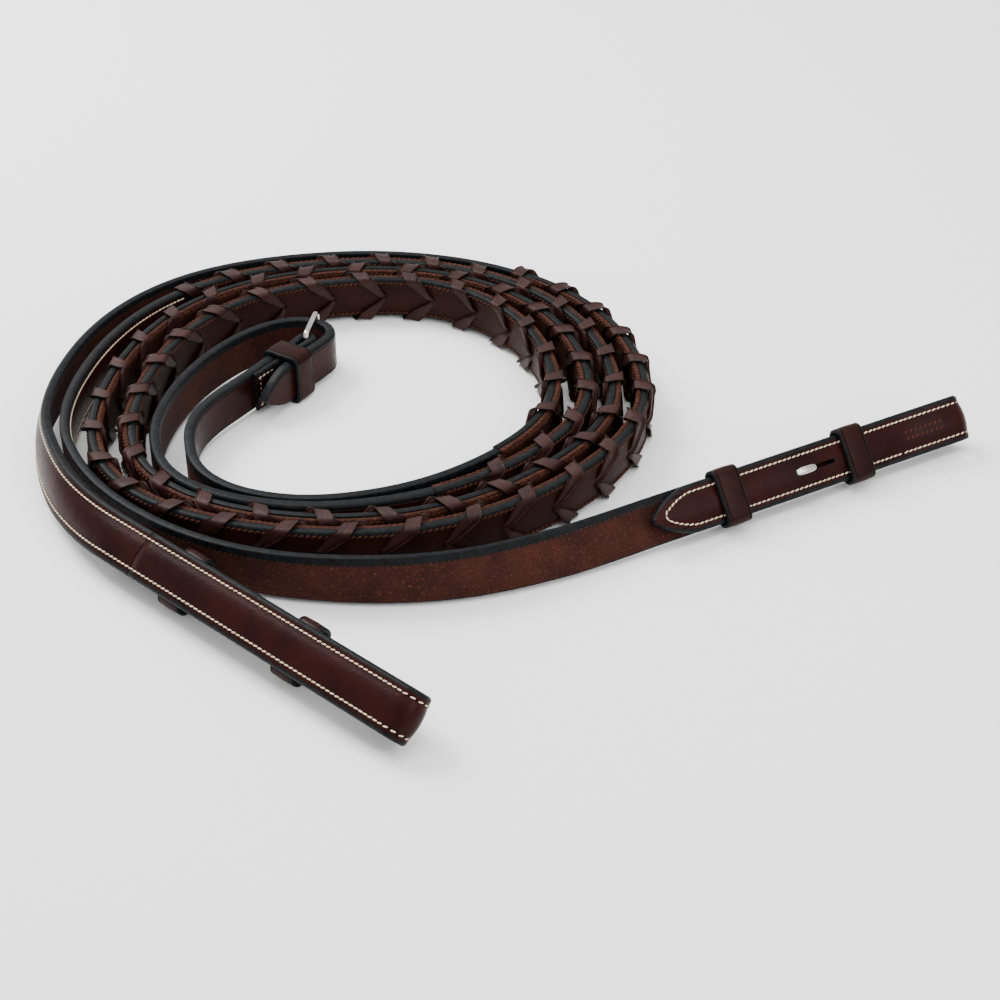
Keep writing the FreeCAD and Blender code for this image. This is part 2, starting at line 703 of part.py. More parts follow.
def shapedTip(strap):
    """The left rein's end: rounded to a point, with an oval hole for the prong."""
    half = size("handWidth") / 2
    end = leftRoute.length
    place = leftRoute.at(end) + Vector(0, 0, size("coilHeight"))
    along = leftRoute.directionAt(end)
    rotation = FreeCAD.Rotation(along, leftNormal(along), Vector(0, 0, 1), "XZY")
    tools = []
    for sign in (1, -1):
        wedge = newBody("TipWedgeTop" if sign > 0 else "TipWedgeBottom")
        sketch = newSketch(wedge, "XZ_Plane")
        addPolygon(sketch, ((-tipTaper, sign * half), (-tipTaper * 0.5, sign * (half - 1.3)),
                            (-tipTaper * 0.16, sign * (half - 3.8)), (0, sign * 1.6), (3, sign * 1.6),
                            (3, sign * (half + 2)), (-tipTaper, sign * (half + 2))))
        wedge.Placement = FreeCAD.Placement(place, rotation)
        feature = pad(wedge, sketch, "4 * Sizes.handThick", True)
        tools.append(feature.getParentGeoFeatureGroup())
    hole = helper("Part::Box", "ProngHole")
    holeLong = 5.0
    hole.Length = 12
    hole.Width = holeLong
    hole.Height = 2.6
    hole.Placement = framePlacement.multiply(
        FreeCAD.Placement(Vector(6, -holeLong + 0.4, -1.3), FreeCAD.Rotation()))
    tools.append(hole)
    return cut("left_hand_strap", strap, fused("TipTools", tools))


handIndex = [item.Label for item in subParts].index("left_hand_strap")
subParts[handIndex] = shapedTip(subParts[handIndex])
subParts += [chape(), buckleFrame(), buckleProng(), buckleKeeper()]

# --- Check and write ----------------------------------------------------------------------------
doc.recompute()
for item in doc.Objects:
    if "Invalid" in item.State or "Error" in item.State:
        raise RuntimeError(f"{item.Label} failed: {item.State}")
for item in subParts:
    if item.Shape.isNull() or not item.Shape.isValid():
        raise RuntimeError(f"{item.Label} has no valid shape")

os.makedirs("parts", exist_ok=True)
for item in subParts:
    item.Shape.exportStep(f"parts/{item.Label}.step")
    print(item.Label, "solids", len(item.Shape.Solids), "volume", round(item.Shape.Volume))
for side, route, laced in (("left", leftRoute, leftLaced), ("right", rightRoute, rightLaced)):
    grip = doc.getObjectsByLabel(side + "_grip_strap")[0]
    expected = (laced[1] - laced[0]) * size("gripGrain") * size("stripWidth")
    print(side, "grip volume over section times length:", round(grip.Shape.Volume / expected, 3))
box = Part.makeCompound([item.Shape for item in subParts]).BoundBox
print("box", [round(value, 2) for value in (box.XMin, box.YMin, box.ZMin, box.XMax, box.YMax, box.ZMax)])
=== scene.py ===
import bpy
import math
import numpy as np
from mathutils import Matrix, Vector


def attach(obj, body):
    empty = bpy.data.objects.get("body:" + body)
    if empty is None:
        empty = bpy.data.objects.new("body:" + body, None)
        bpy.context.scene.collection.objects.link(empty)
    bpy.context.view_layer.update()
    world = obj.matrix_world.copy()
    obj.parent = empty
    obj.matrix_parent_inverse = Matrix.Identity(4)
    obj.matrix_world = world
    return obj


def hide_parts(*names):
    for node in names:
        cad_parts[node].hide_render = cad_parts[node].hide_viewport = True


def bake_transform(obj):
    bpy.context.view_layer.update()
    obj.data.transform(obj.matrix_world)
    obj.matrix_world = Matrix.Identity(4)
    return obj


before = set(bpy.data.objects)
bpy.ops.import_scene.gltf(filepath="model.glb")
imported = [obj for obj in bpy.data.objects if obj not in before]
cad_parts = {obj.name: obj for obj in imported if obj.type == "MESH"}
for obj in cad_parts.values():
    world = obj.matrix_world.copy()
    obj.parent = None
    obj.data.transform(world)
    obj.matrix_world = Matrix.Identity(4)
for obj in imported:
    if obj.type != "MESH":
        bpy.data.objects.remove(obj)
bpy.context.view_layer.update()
print("stage: frame loaded")

mm = 0.001
random = np.random.default_rng(7)
zAxis = np.array((0.0, 0.0, 1.0))
bothReins = {}
coilHeight = 9.4


# Camera --------------------------------------------------------------------------------------
view = {"elevation": 35.0, "distance": 646.0, "lens": 69.0, "aim": (-0.59, -9.49, 0.0)}
cameraData = bpy.data.cameras.new("mainCamera")
cameraData.sensor_width = 36.0
cameraData.lens = view["lens"]
cameraData.clip_start = 0.01
camera = bpy.data.objects.new("mainCamera", cameraData)
bpy.context.scene.collection.objects.link(camera)
bpy.context.scene.camera = camera
aim = Vector(view["aim"]) * mm
tilt = math.radians(view["elevation"])
camera.location = aim + Vector((0, -math.cos(tilt), math.sin(tilt))) * view["distance"] * mm
camera.rotation_euler = (math.pi / 2 - tilt, 0, 0)
print("stage: camera")


# Routes --------------------------------------------------------------------------------------
# The same control points as the solids, in millimetres, from each bit fold to the buckle.
routes = {
    "shift": (-0.59, -9.49),
    "roundness": (2.35, 2.1, 1.75, 2.25),
    "perQuarter": 3,
    "leftFree": ((-24.9, -125.7), (-67, -89.3), (-109.5, -51.4), (-131.5, -30.9), (-148.8, -4.7)),
    "leftCompass": ((-161.8, 37), (-52, 149.2), (54, 47), (-43, -43.5), (-142, 29), (-48, 135.6),
                    (33.5, 46), (-54, -28), (-118.5, 17)),
    "leftHand": ((-118.5, 17), (-117, 37.5), (-111.5, 57), (-102, 75), (-89.5, 89), (-76, 95),
                 (-64.5, 91.5), (-61.5, 83), (-66.2, 75.8), (-71.6, 67.9), (-77.2, 59.1),
                 (-84.1, 48)),
    "rightFree": ((159.6, 39.1), (111, 12.9), (62.3, -14.6), (38, -30.1), (12, -44.6), (-14, -53.7),
                  (-45, -56.5), (-79.8, -51.9), (-111.4, -35.2), (-137.4, -8.3)),
    "rightCompass": ((-153.5, 30), (-49, 142.9), (43.5, 46), (-48, -36.2), (-129.5, 29),
                     (-44, 127.8), (21.5, 46), (-58, -23.3), (-106, 15)),
    "rightHand": ((-106, 15), (-105, 28.5), (-99.5, 40.5), (-91.8, 51.4), (-73.8, 79.5)),
}


def coilPoints(compass):
    # Between two compass points a quarter of a superellipse: near = cos(a)^(2/n),
    # far = sin(a)^(2/n), with a from 0 to a quarter turn and n the quarter's roundness.
    points = []
    for index in range(len(compass) - 1):
        start = np.array(compass[index])
        end = np.array(compass[index + 1])
        power = 2 / routes["roundness"][index % 4]
        for step in range(routes["perQuarter"]):
            angle = math.pi / 2 * step / routes["perQuarter"]
            near = math.cos(angle) ** power
            far = math.sin(angle) ** power
            weights = np.array((near, 1 - far)) if index % 2 == 0 else np.array((1 - far, near))
            points.append(tuple(end + (start - end) * weights))
    return points


def readLine(name, points):
    # A NURBS line through the control points, read back as points.
    data = bpy.data.curves.new(name, "CURVE")
    data.dimensions = "3D"
    spline = data.splines.new("NURBS")
    spline.points.add(len(points) - 1)
    flat = [value for x, y in points for value in (x * mm, y * mm, 0.0, 1.0)]
    spline.points.foreach_set("co", flat)
    spline.order_u = 3
    spline.use_endpoint_u = True
    spline.resolution_u = 24
    line = bpy.data.objects.new(name, data)
    bpy.context.scene.collection.objects.link(line)
    mesh = bpy.data.meshes.new_from_object(line.evaluated_get(bpy.context.evaluated_depsgraph_get()))
    read = np.empty(len(mesh.vertices) * 3)
    mesh.vertices.foreach_get("co", read)
    bpy.data.meshes.remove(mesh)
    bpy.data.objects.remove(line)
    return read.reshape(-1, 3)


class Rein:
    hingeAt = 131.5
    settleReach = 18.0

    def __init__(self, side, settings):
        shift = np.array(routes["shift"])
        points = [*routes[side + "Free"], *coilPoints(routes[side + "Compass"]), *routes[side + "Hand"]]
        points = [tuple(np.array(point) + shift) for point in points]
        line = readLine(side + "Line", points) / mm
        steps = np.linalg.norm(np.diff(line, axis=0), axis=1)
        keep = np.concatenate(((True,), steps > 1e-6))
        self.line = line[keep]
        steps = np.linalg.norm(np.diff(self.line, axis=0), axis=1)
        self.measured = np.concatenate(((0,), np.cumsum(steps)))
        # Distances are the solids' own, so the line's are scaled to them.
        self.measured *= settings["length"] / self.measured[-1]
        self.length = settings["length"]
        self.side = side
        self.settings = settings
        self.facing = settings["facing"]
        self.grain = -settings["facing"]
        self.start = self.point(np.array(0.0))
        self.chord = (self.point(np.array(self.hingeAt)) - self.start) / self.hingeAt

    def point(self, distances):
        return np.stack([np.interp(distances, self.measured, self.line[:, axis]) for axis in range(3)],
                        axis=-1)

    def tangent(self, distances):
        ahead = self.point(np.minimum(distances + 1.0, self.length))
        behind = self.point(np.maximum(distances - 1.0, 0))
        along = ahead - behind
        return along / np.linalg.norm(along, axis=-1, keepdims=True)

    def frames(self, distances):
        # Middle, along, across and upward. The bit end is straight; behind it the lean is endLean
        # times ((leanEnd - s) / (leanEnd - hingeAt))^leanPower, and the height follows the lean.
        distances = np.asarray(distances, float)
        leanEnd = self.settings["leanEnd"]
        share = np.clip((leanEnd - distances) / (leanEnd - self.hingeAt), 0, 1)
        fade = share ** self.settings["leanPower"]
        lean = math.radians(self.settings["endLean"]) * fade
        straight = (distances < self.hingeAt)[..., None]
        # The direction changes over from the chord's to the route's own within settleReach.
        change = np.clip((distances - self.hingeAt) / self.settleReach, 0, 1)[..., None]
        along = self.chord * (1 - change) + self.tangent(distances) * change
        along /= np.linalg.norm(along, axis=-1, keepdims=True)
        sideways = np.stack((-along[..., 1], along[..., 0], np.zeros_like(along[..., 0])), axis=-1)
        middle = np.where(straight, self.start + self.chord * distances[..., None], self.point(distances))
        middle[..., 2] = coilHeight + (self.settings["endHeight"] - coilHeight) * fade
        cosine = np.cos(lean)[..., None]
        sine = np.sin(lean)[..., None]
        across = sideways * cosine + zAxis * sine
        upward = zAxis * cosine - sideways * sine
        return middle, along, across, upward

    def endFrame(self):
        # Axes of the straight free end: x back along the strap, y across it and z up its width.
        return [part[0] for part in self.frames(np.array([0.0]))]


for side, settings in (
        ("left", {"length": 1475.2, "facing": -1, "endLean": 50.0, "leanEnd": 345.0, "leanPower": 3,
                  "endHeight": 13.2, "laced": (455.0, 1200.0)}),
        ("right", {"length": 1445.8, "facing": 1, "endLean": 40.0, "leanEnd": 300.0, "leanPower": 2,
                   "endHeight": 7.47, "laced": (470.0, 1240.0)})):
    bothReins[side] = Rein(side, settings)
print("stage: routes")


# Materials -----------------------------------------------------------------------------------
class Signal:
    def __init__(self, tree, output):
        self.tree = tree
        self.output = output

    def node(self, kind, settings, inputs, result=0):
        made = self.tree.nodes.new(kind)
        for key, value in settings.items():
            setattr(made, key, value)
        for key, value in inputs.items():
            if isinstance(value, Signal):
                self.tree.links.new(value.output, made.inputs[key])
            else:
                made.inputs[key].default_value = value
        return Signal(self.tree, made.outputs[result])

    def maths(self, operation, first, second=0.0, clamp=False):
        return self.node("ShaderNodeMath", {"operation": operation, "use_clamp": clamp},
                         {0: first, 1: second})

    def __add__(self, other):
        return self.maths("ADD", self, other)

    __radd__ = __add__

    def __sub__(self, other):
        return self.maths("SUBTRACT", self, other)

    def __rsub__(self, other):
        return self.maths("SUBTRACT", other, self)

    def __mul__(self, other):
        return self.maths("MULTIPLY", self, other)

    __rmul__ = __mul__

    def __truediv__(self, other):
        return self.maths("DIVIDE", self, other)

    def __abs__(self):
        return self.maths("ABSOLUTE", self)

    def clamped(self):
        return self.maths("ADD", self, 0.0, True)


def newMaterial(name):
    material = bpy.data.materials.new(name)
    material.use_nodes = True
    tree = material.node_tree
    shader = tree.nodes["Principled BSDF"]
    return material, Signal(tree, None), shader


def feed(shader, values):
    for key, value in values.items():
        if isinstance(value, Signal):
            value.tree.links.new(value.output, shader.inputs[key])
        else:
            shader.inputs[key].default_value = value


def mixed(graph, factor, first, second):
    return graph.node("ShaderNodeMix", {"data_type": "RGBA"},
                      {0: factor, 6: (*first, 1.0), 7: (*second, 1.0)}, 2)


def noise(graph, coords, scale, detail=3.0, rough=0.55):
    return graph.node("ShaderNodeTexNoise", {}, {"Vector": coords, "Scale": scale, "Detail": detail,
                                                 "Roughness": rough})


def bump(graph, height, distance, strength=1.0):
    return graph.node("ShaderNodeBump", {}, {"Height": height, "Distance": distance,
                                             "Strength": strength})


def objectCoords(graph):
    return graph.node("ShaderNodeTexCoord", {}, {}, "Object")


def stripCoords(graph):
    # U is the distance along a strip and V the distance from its middle, both in centimetres.
    flat = graph.node("ShaderNodeUVMap", {"uv_map": "strip"}, {})
    along = graph.node("ShaderNodeSeparateXYZ", {}, {"Vector": flat}, "X")
    aside = graph.node("ShaderNodeSeparateXYZ", {}, {"Vector": flat}, "Y")
    return along, aside


def grainLeather(name, dark, light, creases, rough=0.34, shine=0.06, creaseWide=0.035):
    material, graph, shader = newMaterial(name)
    coords = objectCoords(graph)
    along, aside = stripCoords(graph)
    cloud = noise(graph, coords, 55.0, 4.0)
    pores = noise(graph, coords, 1500.0, 2.0)
    wrinkles = noise(graph, coords, 420.0, 3.0)
    height = pores * 0.35 + wrinkles * 0.45
    shade = (cloud - 0.3) * 1.6
    for place in creases:
        # A crease is a V-shaped groove: 1 - distance from its line over its half width.
        groove = (1.0 - abs(abs(aside) - place) / creaseWide).clamped()
        height = height - groove * 2.4
        shade = shade - groove * 0.9
    feed(shader, {
        "Base Color": mixed(graph, shade.clamped(), dark, light),
        "Roughness": rough + (wrinkles - 0.5) * 0.25,
        "Normal": bump(graph, height, 0.00016),
        "Coat Weight": shine * 0.3, "Coat Roughness": 0.2, "Specular IOR Level": shine,
    })
    return material


def fleshLeather(name, dark, light, fleck):
    material, graph, shader = newMaterial(name)
    coords = objectCoords(graph)
    cloud = noise(graph, coords, 70.0, 4.0)
    fuzz = noise(graph, coords, 1300.0, 4.0, 0.7)
    base = mixed(graph, ((cloud - 0.35) * 2.0).clamped(), dark, light)
    flecks = ((fuzz - 0.56) * 7.0).clamped()
    color = graph.node("ShaderNodeMix", {"data_type": "RGBA"},
                       {0: flecks * 0.55, 6: base, 7: (*fleck, 1.0)}, 2)
    feed(shader, {
        "Base Color": color, "Roughness": 0.62 + (cloud - 0.5) * 0.2,
        "Normal": bump(graph, fuzz, 0.0003), "Specular IOR Level": 0.08,
    })
    return material


def plainPaint(name, dark, light, rough, grainSize, bumpDistance, metallic=0.0):
    material, graph, shader = newMaterial(name)
    coords = objectCoords(graph)
    cloud = noise(graph, coords, grainSize, 3.0)
    fine = noise(graph, coords, grainSize * 5, 2.0)
    feed(shader, {
        "Base Color": mixed(graph, ((cloud - 0.35) * 2.4).clamped(), dark, light),
        "Roughness": rough + (fine - 0.5) * 0.12,
        "Normal": bump(graph, cloud + fine * 0.4, bumpDistance),
        "Metallic": metallic, "Specular IOR Level": 0.5 if metallic else 0.08,
    })
    return material


def laceLeather(name, dark, light, paintedShadeRim):
    material, graph, shader = newMaterial(name)
    coords = objectCoords(graph)
    along, aside = stripCoords(graph)
    cloud = noise(graph, coords, 130.0, 4.0)
    lined = graph.node("ShaderNodeCombineXYZ", {}, {"X": along * 0.7, "Y": aside * 26.0, "Z": 0.0})
    lines = noise(graph, lined, 1.0, 3.0)
    # The lace's edges are painted darker, as painted shade along them: 0 up to 0.2 cm from the middle, 1 at
    # 0.26 cm.
    edge = ((abs(aside) - 0.215) / 0.045).clamped()
    base = mixed(graph, ((cloud * 0.6 + lines * 0.6 - 0.4) * 2.2).clamped(), dark, light)
    color = graph.node("ShaderNodeMix", {"data_type": "RGBA"}, {0: edge * 0.45, 6: base, 7: (*paintedShadeRim, 1.0)}, 2)
    feed(shader, {
        "Base Color": color, "Roughness": 0.4 + (lines - 0.5) * 0.3,
        "Normal": bump(graph, lines + cloud * 0.4, 0.00025), "Specular IOR Level": 0.12,
    })
    return material


looks = {
    "grain": grainLeather("darkGrain", (0.0085, 0.0014, 0.0013), (0.032, 0.005, 0.0041), (0.53,)),
    "handGrain": grainLeather("handGrain", (0.009, 0.002, 0.0016), (0.031, 0.007, 0.005), (0.58,)),
    "keeperGrain": grainLeather("keeperGrain", (0.008, 0.0018, 0.0015), (0.026, 0.006, 0.0043), (0.36,)),
    "gripGrain": grainLeather("gripGrain", (0.0085, 0.0021, 0.0017), (0.027, 0.0072, 0.0052), (0.6,),
                              0.42, 0.05),
    "flesh": fleshLeather("fleshSide", (0.02, 0.005, 0.0034), (0.052, 0.0135, 0.0085), (0.17, 0.05, 0.024)),
    "lining": fleshLeather("liningSide", (0.015, 0.0048, 0.0033), (0.038, 0.012, 0.0075),
                           (0.09, 0.03, 0.014)),
    "edge": plainPaint("edgePaint", (0.003, 0.0033, 0.0038), (0.0085, 0.0093, 0.0105), 0.46, 420.0, 0.0002),
    "liningEdge": plainPaint("liningEdge", (0.02, 0.0065, 0.0042), (0.075, 0.025, 0.0135), 0.6, 700.0,
                             0.0004),
    # The lace's third colour is the painted shade along its edges.
    "lace": laceLeather("laceLeather", (0.01, 0.0031, 0.0026), (0.042, 0.0135, 0.0112),
                        (0.014, 0.006, 0.005)),
    "cream": plainPaint("creamThread", (0.5, 0.39, 0.26), (0.8, 0.68, 0.5), 0.6, 900.0, 0.0001),
    "tan": plainPaint("tanThread", (0.028, 0.0085, 0.0052), (0.078, 0.025, 0.0135), 0.6, 900.0, 0.0001),
    "red": plainPaint("redThread", (0.05, 0.01, 0.007), (0.11, 0.024, 0.016), 0.6, 900.0, 0.0001),
    "nickel": plainPaint("nickelPlate", (0.42, 0.41, 0.39), (0.6, 0.59, 0.56), 0.2, 300.0, 0.00002,
                         metallic=1.0),
}
print("stage: materials")


# Mesh makers ---------------------------------------------------------------------------------
def crownRise(b, width, crown, border=2.9):
    # The grain side's raised middle: crown * (1 - (|b| / inner)^2.2), nothing beyond inner.
    inner = width / 2 - border
    return crown * (1 - np.clip(np.abs(b) / inner, 0, 1) ** 2.2)


def stripSection(width, thick, corner, crown=0.0, border=2.9, backCorner=0.5, cornerSteps=4):
    # One closed outline with rounded corners, the grain side's larger than the flesh side's.
    half = width / 2
    grainRow = np.linspace(-half + corner, half - corner, 15)
    raised = crownRise(grainRow, width, crown, border)
    outline = [(b, thick / 2 + rise, 0) for b, rise in zip(grainRow, raised)]
    for side, radius, level, begin in ((1, corner, 1, 90), (1, backCorner, -1, 0),
                                       (-1, backCorner, -1, -90), (-1, corner, 1, 180)):
        if (side, level) == (-1, -1):
            fleshRow = np.linspace(half - backCorner, -half + backCorner, 7)[1:]
            outline += [(b, -thick / 2, 2) for b in fleshRow]
        for step in range(1, cornerSteps + 1):
            angle = math.radians(begin - 90 * step / cornerSteps)
            outline.append((side * (half - radius) + radius * math.cos(angle),
                            level * (thick / 2 - radius) + radius * math.sin(angle), 1))
    outline.pop()
    return np.array(outline)


def roundSection(radiusB, radiusN, steps=12):
    angles = np.arange(steps) * 2 * math.pi / steps
    return np.stack((radiusB * np.sin(angles), radiusN * np.cos(angles), np.zeros(steps)), axis=1)


def linkMesh(name, vertices, faces, faceSlots, slots, flatCoords=None):
    mesh = bpy.data.meshes.new(name)
    mesh.from_pydata((np.asarray(vertices) * mm).tolist(), [], faces)
    for slot in slots:
        mesh.materials.append(looks[slot])
    mesh.polygons.foreach_set("material_index", np.asarray(faceSlots, np.int32))
    mesh.polygons.foreach_set("use_smooth", np.ones(len(faces), bool))
    if flatCoords is not None:
        layer = mesh.uv_layers.new(name="strip")
        corners = np.empty(len(mesh.loops), np.int32)
        mesh.loops.foreach_get("vertex_index", corners)
        layer.data.foreach_set("uv", (np.asarray(flatCoords)[corners] / 10).ravel())
    mesh.update()
    made = bpy.data.objects.new(name, mesh)
    bpy.context.scene.collection.objects.link(made)
    return made


def sweep(name, centres, widthAxes, normalAxes, section, slots, closed=False, widths=None, thicks=None,
          runs=1):
    # Vertex = centre + width axis * b * its width factor + normal axis * n * its thickness factor.
    # The centres may hold several equal runs one after another.
    count = len(centres) // runs
    around = len(section)
    widths = np.ones(len(centres)) if widths is None else widths
    thicks = np.ones(len(centres)) if thicks is None else thicks
    b = section[None, :, 0] * widths[:, None]
    n = section[None, :, 1] * thicks[:, None]
    vertices = centres[:, None] + widthAxes[:, None] * b[..., None] + normalAxes[:, None] * n[..., None]
    steps = np.linalg.norm(np.diff(centres, axis=0, prepend=centres[:1]), axis=1)
    flat = np.stack(np.broadcast_arrays(np.cumsum(steps)[:, None], b), axis=-1).reshape(-1, 2)
    row = np.arange(count if closed else count - 1)
    j = np.arange(around)
    low = row[:, None] * around + j
    lowNext = row[:, None] * around + (j + 1) % around
    high = ((row + 1) % count)[:, None] * around + j
    highNext = ((row + 1) % count)[:, None] * around + (j + 1) % around
    quads = np.stack((low, high, highNext, lowNext), axis=-1).reshape(-1, 4)
    # The outline runs from -width to +width on the grain side, so the winding follows the axes.
    travel = centres[1] - centres[0]
    flipped = np.dot(np.cross(widthAxes[0], normalAxes[0]), travel) < 0
    if flipped:
        quads = quads[:, ::-1]
    starts = np.arange(runs) * count * around
    faces = (quads[None] + starts[:, None, None]).reshape(-1, 4).tolist()
    nextSlot = np.roll(section[:, 2], -1)
    segmentSlot = np.where(section[:, 2] == nextSlot, nextSlot, 1) if section[:, 2].any() else nextSlot
    faceSlots = np.tile(np.tile(segmentSlot, len(row)), runs).tolist()
    vertices = vertices.reshape(-1, 3)
    if not closed:
        # The caps have vertices of their own, so that they don't shade the strip's ends.
        for start in starts:
            for place, turnRound in ((start, flipped), (start + (count - 1) * around, not flipped)):
                ring = place + np.arange(around)
                cap = list(range(len(vertices), len(vertices) + around))
                vertices = np.concatenate((vertices, vertices[ring]))
                flat = np.concatenate((flat, flat[ring]))
                faces.append(cap[::-1] if turnRound else cap)
                faceSlots.append(min(1, len(slots) - 1))
    return linkMesh(name, vertices, faces, faceSlots, slots, flat)


def smoothWander(count, every, amount):
    # Smooth random wandering, for edges cut and coiled by hand.
    knots = random.normal(0, amount, max(4, count // every + 4))
    places = np.linspace(0, len(knots) - 1, count)
    coarse = np.interp(places, np.arange(len(knots)), knots)
    kernel = np.hanning(2 * every + 1)
    return np.convolve(np.pad(coarse, every, "edge"), kernel / kernel.sum(), "valid")


def stitchTemplate(length, wide, high):
    # A low-poly grain of thread: rings along x, r(x) = sqrt(1 - x^2).
    ringPlaces = np.array((-0.92, -0.5, 0.5, 0.92))
    angles = np.arange(6) * math.pi / 3
    radii = np.sqrt(1 - ringPlaces ** 2)
    grid = np.stack(np.broadcast_arrays(ringPlaces[:, None] * length / 2,
                                        radii[:, None] * np.cos(angles) * wide / 2,
                                        radii[:, None] * np.sin(angles) * high), axis=-1).reshape(-1, 3)
    faces = []
    for ring in range(3):
        for k in range(6):
            a = ring * 6 + k
            b = ring * 6 + (k + 1) % 6
            faces.append((a, a + 6, b + 6, b))
    faces.append(tuple(range(6)))
    faces.append(tuple(range(23, 17, -1)))
    return grid, faces


def stitchRows(name, points, alongs, normals, slot, length=1.75, wide=0.62, high=0.34, slant=10.0):
    # Stitch k = point + its frame (along, aside, normal) turned by slant in the leather's plane.
    template, faces = stitchTemplate(length, wide, high)
    alongs = alongs / np.linalg.norm(alongs, axis=1, keepdims=True)
    normals = normals - alongs * np.sum(alongs * normals, axis=1, keepdims=True)
    normals = normals / np.linalg.norm(normals, axis=1, keepdims=True)
    asides = np.cross(normals, alongs)
    turn = math.radians(slant) + random.normal(0, 0.05, len(points))
    turned = alongs * np.cos(turn)[:, None] + asides * np.sin(turn)[:, None]
    turnedAside = np.cross(normals, turned)
    vertices = (points[:, None] + turned[:, None] * template[None, :, :1]
                + turnedAside[:, None] * template[None, :, 1:2]
                + normals[:, None] * template[None, :, 2:])
    size = len(template)
    allFaces = [tuple(index + k * size for index in face) for k in range(len(points)) for face in faces]
    return linkMesh(name, vertices.reshape(-1, 3), allFaces, [0] * len(allFaces), [slot])


def finishPiece(piece, body, nodes):
    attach(piece, body)
    if nodes:
        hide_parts(*nodes)


def stations(first, last, spacing):
    return np.linspace(first, last, max(2, int(round((last - first) / spacing)) + 1))


# Straps --------------------------------------------------------------------------------------
strapShape = {"width": 16.0, "thick": 3.4, "corner": 1.35, "crown": 0.8, "bendFrom": 116.0,
              "bendTo": 150.0, "blend": (121.0, 142.0), "stitchIn": 2.6, "stitchPitch": 1.9, "spacing": 2.5}
handShape = {"width": 15.0, "thick": 3.6, "corner": 1.3, "tipTaper": 14.0}
gripShape = {"grainThick": 2.8, "liningThick": 1.7, "width": 16.0, "liningWidth": 15.2, "corner": 1.25,
             "stitchIn": 1.7, "stitchPitch": 2.0}


def strapPiece(name, rein, first, last, section, slots, offset=0.0, wander=0.12, widths=None):
    distances = stations(first, last, strapShape["spacing"])
    middle, along, across, upward = rein.frames(distances)
    normal = across * rein.grain
    drift = smoothWander(len(distances), 12, wander)
    fade = np.clip(np.minimum(distances - first, last - distances) / 15, 0, 1)
    middle = middle + normal * offset + upward * (drift * fade)[:, None]
    scale = None if widths is None else widths(distances)
    return sweep(name, middle, upward, normal, section, slots, widths=scale)


def rowOnStrap(rein, first, last, pitch, aside, outward, grainSide=True):
    distances = np.arange(first, last, pitch)
    middle, along, across, upward = rein.frames(distances)
    normal = across * rein.grain * (1 if grainSide else -1)
    return middle + upward * aside + normal * outward, along, normal


def gather(rows):
    return [np.concatenate(part) for part in zip(*rows)]


strapSection = stripSection(strapShape["width"], strapShape["thick"], strapShape["corner"],
                            strapShape["crown"])
handSection = stripSection(handShape["width"], handShape["thick"], handShape["corner"])
grainSection = stripSection(gripShape["width"], gripShape["grainThick"], gripShape["corner"], 0.25, 3.4)
liningSection = stripSection(gripShape["liningWidth"], gripShape["liningThick"], 0.5)
leatherSlots = ("grain", "edge", "flesh")

for side, rein in bothReins.items():
    laced = rein.settings["laced"]
    coilPart = strapPiece(side + "BitStrap", rein, strapShape["bendTo"], laced[0] + 8, strapSection,
                          leatherSlots)
    finishPiece(coilPart, "coil", [side + "_bit_strap"])
    bend = strapPiece(side + "BitBend", rein, strapShape["bendFrom"], strapShape["bendTo"],
                      strapSection, leatherSlots, wander=0.0)
    blendPlaces = [Vector(place * mm) for place in rein.frames(np.array(strapShape["blend"]))[0]]
    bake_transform(bend)
    edgeAt = strapShape["width"] / 2 - strapShape["stitchIn"]
    lift = strapShape["thick"] / 2 + 0.02
    for name, first, last in (("Bit", strapShape["bendTo"], laced[0] - 2),
                              ("Bend", strapShape["bendFrom"], strapShape["bendTo"])):
        rows = [rowOnStrap(rein, first, last, strapShape["stitchPitch"], edge, lift)
                for edge in (-edgeAt, edgeAt)]
        rows += [rowOnStrap(rein, first, last, strapShape["stitchPitch"], edge, lift, False)
                 for edge in (-edgeAt, edgeAt)]
        half = len(rows) // 2
        outside = stitchRows(f"{side}{name}Stitches", *gather(rows[:half]), "cream")
        inside = stitchRows(f"{side}{name}BackStitches", *gather(rows[half:]), "tan", length=1.3,
                            wide=0.4, high=0.2)
        for piece in (outside, inside):
            if name == "Bit":
                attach(piece, "coil")
            else:
                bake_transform(piece)

    total = gripShape["grainThick"] + gripShape["liningThick"]
    grip = strapPiece(side + "Grip", rein, laced[0], laced[1], grainSection,
                      ("gripGrain", "edge", "flesh"), (total - gripShape["grainThick"]) / 2)
    finishPiece(grip, "coil", [side + "_grip_strap"])
    lining = strapPiece(side + "Lining", rein, laced[0], laced[1], liningSection,
                        ("lining", "liningEdge", "lining"), -(total - gripShape["liningThick"]) / 2, 0.05)
    finishPiece(lining, "coil", [side + "_grip_lining"])
    edgeAt = gripShape["width"] / 2 - gripShape["stitchIn"]
    rows = [rowOnStrap(rein, laced[0] + 3, laced[1] - 3, gripShape["stitchPitch"], edge, total / 2 + 0.02,
                       grainSide) for edge in (-edgeAt, edgeAt) for grainSide in (True, False)]
    stitches = stitchRows(side + "GripStitches", *gather(rows), "tan", length=2.1, wide=0.95, high=0.42,
                          slant=24.0)
    finishPiece(stitches, "coil", [])
    # A second slanted row on the lining's edge gives the plaited look from above.
    rows = [rowOnStrap(rein, laced[0] + 3, laced[1] - 3, gripShape["stitchPitch"],
                       gripShape["liningWidth"] / 2 - 0.1, total / 2 - 0.75, False)]
    points, alongs, normals = gather(rows)
    overEdge = stitchRows(side + "EdgeStitches", points, alongs, np.broadcast_to(zAxis, points.shape),
                          "tan", length=2.2, wide=0.9, high=0.4, slant=-28.0)
    finishPiece(overEdge, "coil", [])
print("stage: bit and laced parts")


